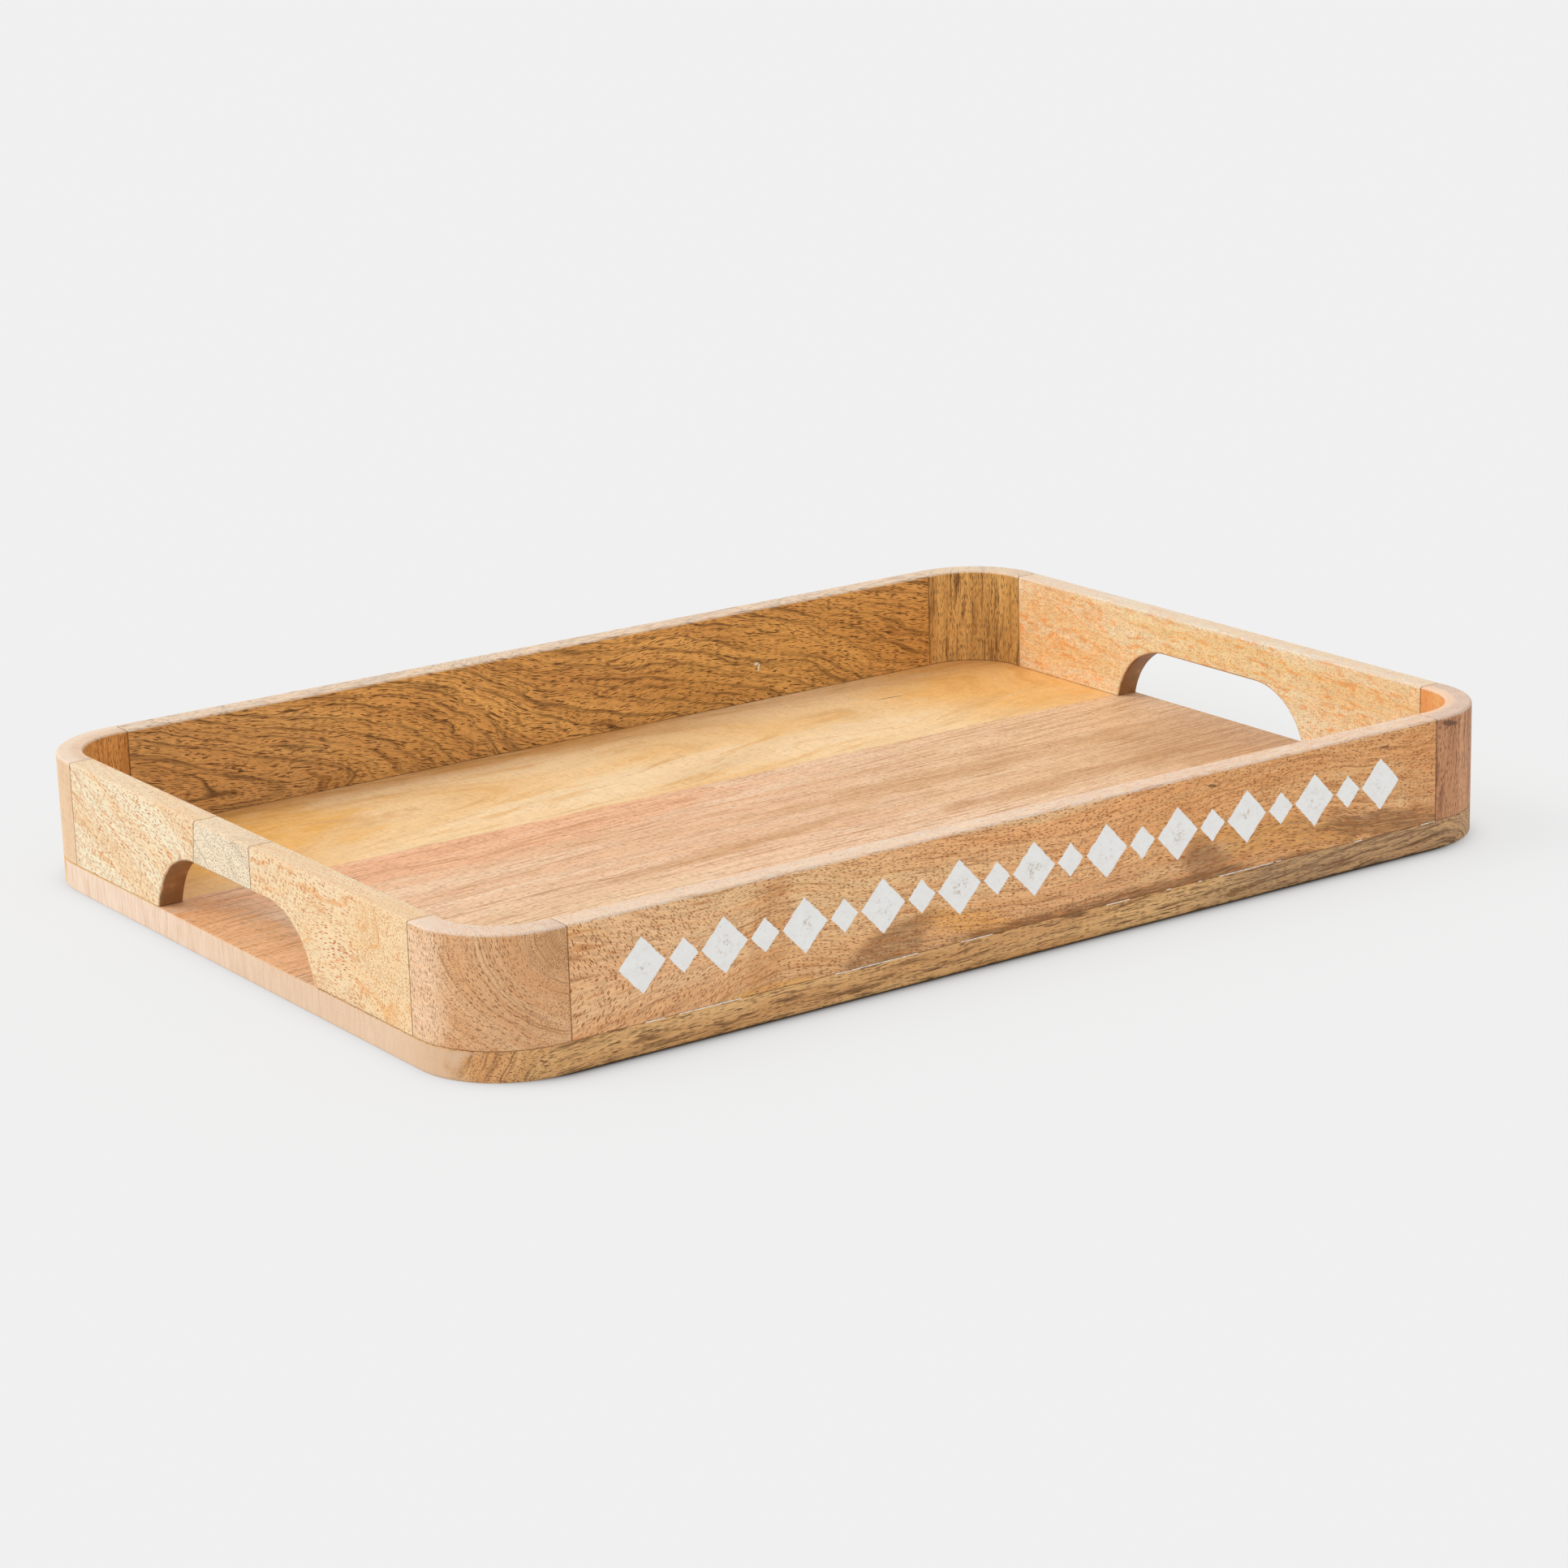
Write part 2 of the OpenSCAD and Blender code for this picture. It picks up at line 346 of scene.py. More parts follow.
def wood(name, light, run, pale, base, deep, vessel, spots=(), marks=(), streaks=0.55,
         streak_size=(60, 1.5, 12), rings=0.12, ring_width=3.4, fibre=0.2,
         fibre_size=(7, 0.38, 0.38), lining=0.25, grit=0.08, curl=0.0, pore=0.75, pore_share=0.95,
         pore_sizes=(2.0, 0.45, 0.45), others=(), calm=None, glue=True, extra_seams=(),
         rim_colour=None, rim_share=0.8, edge=None, bump=0.35, band_width=9.0):
    """A board's wood. Colours are sRGB, as seen under this light unless they have their own.
    run says how the grain runs, spots are coloured areas below the figure and marks lie on top
    of it: (colour, strength, centre, size, tilt, turn axis, raggedness). others are pores that
    lie another way in an area of their own: (sizes, share, turn, area). fibre, grit and curl are
    how much the fibres, the flecks and the curly figure vary in lightness, and lining how dark
    the darkest fibres are drawn. calm is an area with neither rings nor streaks."""
    def tone(colour):
        return shade(*colour) if len(colour) == 4 else shade(*colour, light)

    recipe = Recipe(name)
    run = grain(recipe, **run)
    u, v, w, r, seed = run["u"], run["v"], run["w"], run["r"], run["seed"]

    band = recipe.noise(recipe.cell_place((u, r, w), (150, band_width, 40), seed + 1), 2.0, 0.55)
    streak = recipe.noise(recipe.cell_place((u, r, w), streak_size, seed + 7), 3.0, 0.65)
    colour = recipe.mix(recipe.fit(band, 0.32, 0.68), tone(pale), tone(base))
    rag = recipe.plus_share(recipe.times(run["rag"], 0.45), streak, 0.9)
    rag = recipe.add(rag, -0.18)
    combed = recipe.fit(streak, 0.34, 0.60, 0.45, 1.0)
    for tint, strength, *area in spots:
        inside = recipe.times(recipe.spot(rag, *area), combed)
        colour = recipe.mix(recipe.times(inside, strength), colour, tone(tint))

    streaked = recipe.fit(streak, 0.5, 0.68, 0.0, streaks)
    ring_line, ring_strength = growth_rings(recipe, run, streak, rings, ring_width)
    if calm:
        lively = recipe.math("SUBTRACT", 1.0, recipe.spot(rag, *calm))
        streaked = recipe.times(streaked, lively)
        ring_line = recipe.times(ring_line, lively)
    colour = recipe.mix(streaked, colour, tone(deep))
    fine = recipe.noise(recipe.cell_place((u, v, w), fibre_size, seed + 11), 2.0, 0.6)
    coarse = recipe.noise(recipe.cell_place((u, v, w), (1.5, 0.5, 0.5), seed + 17), 2.0, 0.6)
    lightness = recipe.times(recipe.fit(fine, 0.3, 0.7, 1 - fibre, 1 + fibre),
                             recipe.fit(coarse, 0.3, 0.7, 1 - grit, 1 + grit))
    if curl:
        curls = recipe.noise(recipe.cell_place((u, v, w), (3.2, 8.0, 8.0), seed + 13), 2.0, 0.5)
        lightness = recipe.times(lightness, recipe.fit(curls, 0.3, 0.7, 1 - curl, 1 + curl))
    lightness = recipe.times(lightness, recipe.plus_share(1.0, ring_line, ring_strength))
    grey = recipe.node("ShaderNodeCombineXYZ", {axis: lightness for axis in range(3)})
    colour = recipe.mix(1.0, colour, grey, "MULTIPLY")

    dashes = all_pores(recipe, run, pore_sizes, pore_share, others)
    lines = recipe.fit(fine, 0.54, 0.66, 0.0, lining)
    drawn = recipe.math("MAXIMUM", lines, recipe.times(dashes, pore))
    colour = recipe.mix(drawn, colour, tone(vessel))
    for tint, strength, *area in marks:
        inside = recipe.spot(streak, *area)
        colour = recipe.mix(recipe.times(inside, strength), colour, tone(tint))
    if edge:
        colour = edge(recipe, run, colour, dashes)
    if rim_colour:
        colour = pale_rim(recipe, colour, fine, tone(rim_colour), rim_share)
    if glue:
        seams = glue_lines(recipe, streak, extra_seams)
        colour = recipe.mix(recipe.times(seams, 0.6), colour, tone(GLUE))

    roughness = recipe.fit(fine, 0.2, 0.8, 0.52, 0.66)
    relief = recipe.plus_share(recipe.times(coarse, 0.35), dashes, -0.8)
    return recipe.finish(colour, roughness, relief, bump)


# Light that each side of the tray gets, against an open level surface
FRONT_LIGHT = 0.83
LEFT_LIGHT = 1.08
LEVEL_LIGHT = 1.05
INNER_BACK_LIGHT = 0.66
INNER_RIGHT_LIGHT = 0.95
CORNER_LIGHT = 0.9
BACK_CORNER_LIGHT = 0.8
OPEN_LIGHT = 1.0

# Seams of the left end wall: the direction across each one, and its distance that way in mm
FRONT_SEAM = (ACROSS_TRAY, FRONT_SEAM_Y * MM_PER_M)
SEAM_LEAN = Vector((0, RIM - FLOOR_TOP, BACK_SEAM_FOOT_Y - BACK_SEAM_TOP_Y)).normalized()
BACK_SEAM = (tuple(SEAM_LEAN),
             SEAM_LEAN.dot(Vector((0, BACK_SEAM_FOOT_Y, FLOOR_TOP))) * MM_PER_M)

RIM_LIGHT = 1.10
RIM_PALE = (245, 228, 211, RIM_LIGHT)
RIM_LEFT = (236, 204, 166, RIM_LIGHT)
RIM_RIGHT = (228, 208, 194, RIM_LIGHT)
GLUE = (112, 72, 40, OPEN_LIGHT)
FILLER = (236, 234, 228, OPEN_LIGHT)


def painted_highlight_outside(recipe, run, colour, dashes):
    """Paler, creamier wood on the outer side of the back left block, where it faces the left light:
    a painted highlight
    """
    reach = recipe.corner_reach(HALF_LENGTH, HALF_WIDTH)
    reach = recipe.plus_share(reach, recipe.add(run["rag"], -0.5), 3.0)
    radius = CORNER_RADIUS * MM_PER_M
    outside = recipe.fit(reach, radius - 7.0, radius - 3.0, 0.0, 0.95)
    # The cream tones of the painted highlight
    highlight_tone = recipe.mix(run["rag"], shade(252, 220, 184, LEFT_LIGHT), shade(236, 196, 154, LEFT_LIGHT))
    highlight_tone = recipe.mix(recipe.times(dashes, 0.5), highlight_tone, shade(206, 156, 112, LEFT_LIGHT))
    return recipe.mix(outside, colour, highlight_tone)


def painted_highlight_inside(recipe, run, colour, dashes):
    """The brighter orange on the inner side of the front right block, where it faces the left light:
    a painted highlight, lighter than the block's outer wood
    """
    reach = recipe.corner_reach(HALF_LENGTH, HALF_WIDTH)
    reach = recipe.plus_share(reach, recipe.add(run["rag"], -0.5), 2.0)
    inner_radius = (CORNER_RADIUS - WALL) * MM_PER_M
    inside = recipe.fit(reach, inner_radius + 4.5, inner_radius + 2.5, 0.0, 0.9)
    # The orange tones of the painted highlight
    highlight_orange = recipe.mix(run["rag"], shade(255, 196, 128), shade(244, 160, 88))
    highlight_orange = recipe.mix(recipe.times(dashes, 0.6), highlight_orange, shade(206, 126, 64))
    return recipe.mix(inside, colour, highlight_orange)


def below_top(recipe):
    """1 below the top face of the floor boards, and 0 on it"""
    top = FLOOR_TOP * MM_PER_M
    return recipe.fit(recipe.dot(UPRIGHT), top - 0.1, top - 0.6)


def sawn_wood(recipe, dashes):
    """The colour of sawn board ends, paler and pinker than the faces, with upright ring lines"""
    place = recipe.cell_place((recipe.dot(ACROSS_TRAY), recipe.dot(UPRIGHT), 0.0), (1.5, 14, 1), 4.4)
    lines = recipe.fit(recipe.noise(place, 3.0, 0.7), 0.35, 0.7)
    sawn = recipe.mix(lines, shade(254, 228, 204, LEFT_LIGHT), shade(238, 204, 174, LEFT_LIGHT))
    forward = recipe.fit(recipe.dot(ACROSS_TRAY), 90, -60, 0.0, 0.6)
    sawn = recipe.mix(forward, sawn, shade(232, 194, 156, LEFT_LIGHT))
    return recipe.mix(recipe.times(dashes, 0.2), sawn, shade(206, 160, 128, LEFT_LIGHT))


def base_edges(recipe, run, colour, dashes):
    """The back and middle floor boards, sawn at both ends"""
    end = recipe.math("ABSOLUTE", recipe.dot(ALONG_TRAY))
    at_end = recipe.fit(end, HALF_LENGTH * MM_PER_M - 1.3, HALF_LENGTH * MM_PER_M - 0.6)
    sawn = recipe.times(at_end, below_top(recipe))
    return recipe.mix(sawn, colour, sawn_wood(recipe, dashes))


def sawn_left_end(recipe, run, colour, dashes):
    """The front floor board, sawn at its left end, where it darkens towards the rounded corner"""
    rag = recipe.plus_share(run["rag"], recipe.add(run["drift"], -0.5), 0.5)
    end = recipe.spot(rag, (-218, -84, 5), (17, 68, 40), 0, "Z", 0.35, 0.7)
    sawn = sawn_wood(recipe, dashes)
    browner = recipe.fit(recipe.dot(ACROSS_TRAY), -96, -132, 0.0, 0.7)
    sawn = recipe.mix(browner, sawn, shade(226, 184, 144, LEFT_LIGHT))
    return recipe.mix(recipe.times(end, below_top(recipe)), colour, sawn)


def scorched_and_shaded_handle(recipe, run, colour, dashes):
    """Brown burn marks that the cutter left in the handle opening. The dark brown on the opening's
    inner surface is partly burn and partly painted shade.
    """
    across = recipe.math("ABSOLUTE", recipe.dot(ACROSS_TRAY))
    beyond = recipe.math("MAXIMUM", recipe.add(across, -HANDLE_FLAT * MM_PER_M), 0.0)
    rise = recipe.add(recipe.dot(UPRIGHT), -HANDLE_CENTRE * MM_PER_M)
    gap = recipe.add(recipe.hypotenuse(beyond, rise), -HANDLE_RADIUS * MM_PER_M)
    gap = recipe.plus_share(gap, recipe.add(run["rag"], -0.5), 0.9)
    face = recipe.fit(gap, 1.1, 0.2)
    reveal = recipe.fit(gap, 0.35, 0.1)
    colour = recipe.mix(recipe.times(face, 0.55), colour, shade(196, 128, 72, LEFT_LIGHT))
    # The opening's inner surface: dark brown that is partly real burn and partly painted shade
    burnt_and_shaded = recipe.mix(run["rag"], shade(84, 52, 22), shade(164, 112, 58))
    return recipe.mix(recipe.times(reveal, 0.85), colour, burnt_and_shaded)


def make_woods():
    """The wood of each board, block and dowel"""
    woods = {}
    woods["floor_back"] = wood(
        "golden_mango_floor", LEVEL_LIGHT,
        dict(along=(1, 0.02, 0), across=ACROSS_TRAY, seed=2.1, sway=7, ripple=0.5,
             pith=(98, -70), tilt=0.05),
        (252, 216, 166), (240, 190, 122),
        (226, 166, 92), (198, 140, 78),
        spots=[
            # Deeper gold in the back left corner: partly the board's own tone, partly painted corner
            # shade
            ((242, 180, 86), 0.9, (-178, 112, 10), (86, 44, 9), 0, "Z", 0.8),
            # Deeper orange at the right end: partly the board's own tone, partly painted shade by
            # the right wall
            ((242, 182, 98), 0.8, (190, 104, 10), (60, 58, 9), 0, "Z", 0.9),
            ((252, 228, 192), 0.5, (30, 80, 10), (120, 18, 9), 3, "Z", 0.8),
            # Painted shadow of the back wall along its foot
            ((214, 156, 82), 0.8, (-60, 146, 10), (160, 16, 9), 0, "Z", 0.6),
        ],
        marks=[
            ((120, 74, 40), 0.8, (138, 112, 10.4), (7, 0.5, 2), -4, "Z", 0.4),
        ],
        streaks=0.45, streak_size=(40, 1.4, 9), rings=0.07, ring_width=5.5, fibre=0.08, grit=0.05,
        pore=0.5, pore_share=0.6, pore_sizes=(3.0, 0.5, 0.5), curl=0.03, band_width=14,
        lining=0.15, glue=False, edge=base_edges, bump=0.2)
    woods["floor_middle"] = wood(
        "pink_mango_floor", LEVEL_LIGHT,
        dict(along=(1, 0.03, 0), across=ACROSS_TRAY, seed=5.4, sway=5, ripple=0.5,
             pith=(-160, 90)),
        (252, 214, 178), (244, 196, 154),
        (186, 130, 82), (156, 104, 62),
        spots=[
            ((251, 187, 142), 0.9, (-100, 44, 10), (150, 20, 9), 2, "Z", 0.7),
            ((238, 196, 148), 0.8, (170, 5, 10), (160, 70, 9), 0, "Z", 0.8),
            ((206, 154, 100), 0.7, (-24, -16, 10), (90, 5, 9), 7, "Z", 1.6),
            ((212, 160, 108), 0.6, (90, 10, 10), (110, 10, 9), 2, "Z", 1.6),
            ((204, 150, 100), 0.7, (130, -24, 10), (90, 7, 9), 3, "Z", 1.6),
            ((246, 210, 168), 0.9, (-120, -38, 10), (90, 16, 9), 3, "Z", 0.8),
            ((250, 178, 110), 0.9, (-208, 0, 10), (20, 60, 9), 0, "Z", 0.9),
            ((206, 156, 108), 0.8, (196, -20, 10), (60, 44, 9), 0, "Z", 1.0),
        ],
        streaks=0.75, streak_size=(30, 0.8, 6), rings=0.1, ring_width=3.2, fibre=0.12, grit=0.07,
        fibre_size=(10, 0.45, 0.45), lining=0.45, pore=0.6, pore_share=0.85,
        pore_sizes=(3.0, 0.48, 0.48), band_width=8, glue=False, edge=base_edges, bump=0.25)
    woods["floor_front"] = wood(
        "streaked_mango_floor", FRONT_LIGHT,
        dict(along=(1, 0.01, 0.02), across=UPRIGHT, seed=8.2, sway=2.6, ripple=0.9,
             pith=(60, 30)),
        (222, 176, 118), (204, 150, 94),
        (122, 84, 48), (94, 62, 36),
        spots=[
            # Darker, greyer right part of the base's front face: painted shade, darker away from the
            # left light
            ((164, 132, 100), 0.85, (170, -150, 5), (120, 12, 14), 0, "Y", 0.5),
            ((226, 162, 104, 0.95), 0.8, (-205, -145, 5), (9, 9, 14), 20, "Y", 0.8),
            ((238, 192, 138, LEVEL_LIGHT), 0.85, (0, -96, 11), (330, 50, 10), 0, "Z", 0.4),
        ],
        streaks=0.85, streak_size=(18, 0.7, 8), rings=0.14, ring_width=1.8, fibre=0.15,
        fibre_size=(12, 0.42, 0.42), lining=0.9, pore=0.65, pore_share=0.8,
        pore_sizes=(3.0, 0.45, 0.45), glue=False, edge=sawn_left_end, band_width=4, bump=0.35)
    woods["front_wall"] = wood(
        "orange_mango_wall", FRONT_LIGHT,
        dict(along=(1, 0, -0.02), across=UPRIGHT, seed=3.3, sway=3, ripple=0.9,
             bends=[(-100, 34, -5), (8, 60, 3), (112, 60, -5)],
             fans=[(-205, 100, 26, 0.62)], pith=(140, 40)),
        (242, 186, 136), (230, 166, 110),
        (186, 124, 72), (144, 84, 40),
        spots=[
            ((238, 184, 140), 0.7, (-152, -152, 26), (44, 12, 30), 0, "Y", 0.8),
            ((211, 150, 90), 0.8, (124, -152, 36), (100, 12, 20), 0, "Y", 0.8),
            ((204, 140, 82), 0.7, (178, -152, 30), (18, 12, 34), 0, "Y", 0.8),
            ((216, 164, 112, LEVEL_LIGHT), 0.9, (0, -141, 28), (260, 5, 40), 0, "Y", 0.3),
            ((206, 150, 98), 0.6, (0, -152, 12), (200, 12, 9), 0, "Y", 1.0),
            ((232, 172, 122), 0.7, (22, -152, 16), (28, 12, 6), 0, "Y", 0.8),
            ((226, 162, 82), 0.75, (-32, -152, 18), (32, 12, 5), 16, "Y", 1.4),
            ((152, 112, 72), 0.95, (-62, -152, 14), (27, 12, 8), -22, "Y", 0.6),
            ((228, 166, 84), 0.8, (-104, -152, 10), (22, 12, 3), 0, "Y", 0.8),
            ((206, 148, 74), 0.75, (110, -152, 19), (56, 12, 7), 9, "Y", 1.6),
            ((146, 108, 70), 0.9, (74, -152, 17), (13, 12, 9), 28, "Y", 0.9),
            ((120, 84, 52), 0.9, (158, -152, 14), (38, 12, 6), 9, "Y", 1.6),
            ((120, 82, 46), 1.0, (30, -152, 11), (90, 12, 3.2), 0, "Y", 1.6),
            ((196, 140, 88), 0.6, (-106, -152, 30), (9, 12, 30), 8, "Y", 0.6),
        ],
        marks=[
            ((110, 72, 42), 0.8, (77, -152.5, 43), (2.2, 2, 0.7), 10, "Y", 0.6),
            ((120, 80, 46), 0.7, (156, -152.5, 42), (3.0, 2, 0.6), 8, "Y", 0.6),
        ],
        others=[
            ((1.6, 0.42, 0.42), 1.0, -34, ((-158, -152, 40), (46, 12, 13), 0, "Y", 0.5)),
            ((1.6, 0.42, 0.42), 1.0, 30, ((-150, -152, 18), (50, 12, 10), 0, "Y", 0.5)),
            ((3.4, 0.5, 0.5), 1.0, -9, ((105, -152, 17), (88, 12, 13), 0, "Y", 0.7)),
        ],
        streaks=0.75, streak_size=(14, 0.7, 8), rings=0.18, ring_width=2.6, lining=0.45, pore=0.92,
        pore_share=1.0, pore_sizes=(1.8, 0.43, 0.43), rim_colour=RIM_PALE, band_width=7)
    woods["back_wall"] = wood(
        "brown_mango_wall", INNER_BACK_LIGHT,
        dict(along=(1, 0, -0.14), across=UPRIGHT, seed=7.7, sway=7, ripple=1.6,
             bends=[(-10, 80, 9)], pith=(0, -176), tilt=0.17),
        (204, 158, 92), (184, 136, 76),
        (132, 90, 46), (76, 48, 22),
        spots=[
            ((190, 144, 76), 0.6, (120, 143, 24), (90, 14, 26), 0, "Y", 0.7),
            ((184, 146, 96), 0.6, (-150, 143, 26), (80, 14, 30), 0, "Y", 0.8),
        ],
        marks=[
            (FILLER, 0.95, (94.2, 142.5, 25.6), (1.9, 1.5, 0.9), -20, "Y", 1.0),
            (FILLER, 0.95, (95.4, 142.5, 24.2), (0.8, 1.5, 1.9), 12, "Y", 1.0),
        ],
        streaks=0.65, streak_size=(22, 0.8, 7), rings=0.5, ring_width=3.4, fibre=0.22,
        fibre_size=(10, 0.5, 0.5), lining=0.95, pore=0.8, pore_share=0.85,
        pore_sizes=(4.0, 0.46, 0.46), rim_colour=RIM_PALE, band_width=6)
    woods["right_end"] = wood(
        "curly_mango_wall", INNER_RIGHT_LIGHT,
        dict(along=(0, 1, 0.05), across=UPRIGHT, seed=4.6, sway=5, ripple=1.6, pith=(150, 30)),
        (255, 235, 206, 0.93), (255, 211, 155, 0.92),
        (240, 170, 96), (214, 136, 66),
        spots=[
            ((252, 192, 132), 0.7, (208, 96, 28), (14, 52, 30), 0, "X", 0.9),
            ((248, 196, 136), 0.4, (208, -86, 28), (14, 40, 30), 0, "X", 0.9),
        ],
        streaks=0.8, streak_size=(7, 1.0, 8), rings=0.06, ring_width=3.6, curl=0.04, pore=0.7,
        fibre=0.12, fibre_size=(3.5, 0.5, 0.5), lining=0.35, pore_sizes=(1.4, 0.5, 0.5),
        rim_colour=RIM_RIGHT, edge=scorched_and_shaded_handle, band_width=6)
    # The left end's cream wood, with its pale and base tones set lighter still as a painted
    # highlight of the brightly lit left end
    left_tones = (
        (255, 234, 201, OPEN_LIGHT), (255, 217, 172, OPEN_LIGHT),
        (246, 184, 118), (206, 118, 52))
    left_figure = dict(
        streaks=0.75, streak_size=(16, 0.7, 8), rings=0.07, ring_width=3.2, fibre=0.08,
        fibre_size=(5, 0.38, 0.38), lining=0.5, pore=1.0, pore_share=1.0,
        pore_sizes=(2.3, 0.44, 0.44), grit=0.04, rim_colour=RIM_LEFT, rim_share=0.6,
        edge=scorched_and_shaded_handle, band_width=6)
    woods["left_end_back"] = wood(
        "cream_mango_back", LEFT_LIGHT,
        dict(along=(0, -1, -0.5), across=UPRIGHT, seed=6.2, sway=6, ripple=0.6,
             bends=[(-110, 60, 8)], pith=(90, 40)),
        *left_tones, extra_seams=[BACK_SEAM], **left_figure)
    woods["left_end_middle"] = wood(
        "grey_mango_middle", LEFT_LIGHT,
        dict(along=(0.5, -1, -0.1), across=UPRIGHT, seed=9.5, sway=3, ripple=0.8,
             pith=(-70, 20)),
        # Grey-cream wood, its pale and base tones set lighter still as a painted highlight of the
        # brightly lit left end
        (252, 233, 203, 1.03), (243, 219, 188, 1.03),
        (210, 182, 144), (160, 128, 92),
        streaks=0.6, rings=0.1, ring_width=2.4, pore=0.9, pore_sizes=(1.1, 0.5, 0.5),
        rim_colour=RIM_LEFT, edge=scorched_and_shaded_handle,
        extra_seams=[BACK_SEAM, FRONT_SEAM])
    woods["left_end_front"] = wood(
        "cream_mango_front", LEFT_LIGHT,
        dict(along=(0.1, -1, -0.5), across=UPRIGHT, seed=1.9, sway=6, ripple=0.6,
             bends=[(50, 45, -6)], pith=(80, 40)),
        *left_tones,
        spots=[
            ((255, 210, 156, OPEN_LIGHT), 0.7, (-216, -100, 26), (12, 24, 36), 0, "X", 0.7),
        ],
        others=[
            ((0.8, 0.55, 0.55), 1.0, 0, ((-212, -106, 28), (12, 24, 40), 0, "X", 0.5)),
            ((2.6, 0.45, 0.45), 1.0, 14, ((-212, -66, 24), (12, 20, 22), 0, "X", 0.4)),
        ],
        extra_seams=[FRONT_SEAM], **left_figure)
    woods["block_front_left"] = wood(
        "ringed_mango_block", CORNER_LIGHT,
        dict(along=(0, 1, 0.1), across=UPRIGHT, seed=2.8, sway=2.5, ripple=0.7,
             pith=(62, -176)),
        (232, 184, 136, 0.95), (218, 162, 112, 0.92),
        (150, 100, 60), (126, 78, 42),
        spots=[
            # The block's paler left-facing side: a painted highlight where the left light falls
            ((248, 208, 168, 1.05), 1.0, (-219, -116, 28), (18, 24, 44), 0, "Z", 0.3),
            ((190, 142, 96), 0.7, (-180, -152, 44), (14, 10, 12), 0, "Y", 0.5),
        ],
        streaks=0.6, streak_size=(40, 0.5, 30), rings=0.12, ring_width=1.9, pore=0.75,
        pore_share=0.95, pore_sizes=(1.6, 0.5, 0.5),
        others=[
            ((3.2, 0.42, 1.0), 1.0, "rings", ((-204, -148, 26), (13, 14, 34), 0, "Z", 0.4)),
            ((1.7, 0.42, 0.42), 1.0, 80, ((-218, -116, 28), (14, 27, 60), 0, "Z", 0.4)),
        ],
        calm=((-218, -116, 28), (14, 26, 60), 0, "Z", 0.4), rim_colour=RIM_PALE, band_width=5)
    woods["block_front_right"] = wood(
        "red_mango_block", FRONT_LIGHT,
        dict(along=(0.1, 0, 1), across=ALONG_TRAY, seed=6.9, sway=3, ripple=0.8,
             pith=(260, 40)),
        (202, 148, 106), (176, 122, 84),
        (128, 80, 52), (106, 62, 38),
        spots=[
            ((210, 146, 106), 0.8, (214, -138, 30), (7, 14, 40), 0, "Z", 0.4),
        ],
        marks=[
            ((84, 56, 40), 0.8, (188, -152, 45), (5, 6, 1.2), 12, "Y", 1.2),
        ],
        streaks=0.8, streak_size=(26, 1.0, 8), rings=0.12, ring_width=3.0, lining=0.5,
        pore_sizes=(2.6, 0.45, 0.45), rim_colour=RIM_PALE, edge=painted_highlight_inside)
    woods["block_back_left"] = wood(
        "amber_mango_block", BACK_CORNER_LIGHT,
        dict(along=(0, 0, 1), across=ALONG_TRAY, seed=5.8, sway=3, ripple=0.7, pith=(-300, 40)),
        (208, 152, 84), (186, 130, 66),
        (150, 98, 46), (116, 72, 32),
        streaks=0.6, streak_size=(26, 1.0, 8), rings=0.12, ring_width=2.6, lining=0.5,
        pore_sizes=(3.0, 0.45, 0.45), rim_colour=RIM_PALE, edge=painted_highlight_outside)
    woods["block_back_right"] = wood(
        "tan_mango_block", BACK_CORNER_LIGHT,
        dict(along=(0.03, 0, 1), across=ALONG_TRAY, seed=8.8, sway=3, ripple=0.7,
             pith=(300, 40)),
        (222, 180, 112), (194, 150, 86),
        (112, 78, 42), (92, 62, 32),
        streaks=0.9, streak_size=(30, 1.6, 8), rings=0.12, ring_width=3.4, lining=0.6,
        pore_sizes=(3.0, 0.45, 0.45), rim_colour=RIM_PALE)
    woods["dowel"] = wood(
        "plain_dowel_wood", OPEN_LIGHT,
        dict(along=ALONG_TRAY, across=ACROSS_TRAY, seed=1.2),
        (232, 204, 160), (222, 190, 142), (200, 164, 116), (176, 140, 98),
        glue=False)
    return woods


def make_resin():
    """White cast resin, sanded flush, with pits where the last of it was poured"""
    recipe = Recipe("white_resin")
    parts = [recipe.dot(way) for way in (ALONG_TRAY, ACROSS_TRAY, UPRIGHT)]
    cloud = recipe.noise(recipe.cell_place(parts, (4.5, 4.5, 4.5), 2.0), 3.0, 0.6)
    grit = recipe.noise(recipe.cell_place(parts, (1.0, 1.0, 1.0), 6.0), 3.0, 0.65)
    pitch = DIAMOND_PITCH * MM_PER_M
    off_centre = recipe.math("PINGPONG", recipe.add(parts[0], 20 * pitch), pitch / 2)
    reach = recipe.hypotenuse(off_centre, recipe.add(parts[2], -ROW_HEIGHT * MM_PER_M))
    pits = recipe.times(recipe.fit(grit, 0.50, 0.60), recipe.fit(reach, 4.5, 1.0))
    pits = recipe.times(pits, recipe.fit(cloud, 0.42, 0.58))
    stray = recipe.times(recipe.fit(grit, 0.66, 0.74), recipe.fit(cloud, 0.5, 0.65))
    colour = recipe.mix(recipe.fit(cloud, 0.35, 0.7), (0.92, 0.92, 0.90, 1), (0.90, 0.88, 0.85, 1))
    colour = recipe.mix(recipe.fit(grit, 0.5, 0.75, 0.0, 0.3), colour, shade(220, 208, 190))
    pitted = recipe.math("MAXIMUM", pits, stray)
    colour = recipe.mix(recipe.times(pitted, 0.55), colour, shade(190, 152, 110))
    roughness = recipe.fit(grit, 0.3, 0.7, 0.5, 0.7)
    relief = recipe.plus_share(recipe.times(grit, 0.4), pitted, -1.0)
    return recipe.finish(colour, roughness, relief, 0.5)


# ---- Making boards ----

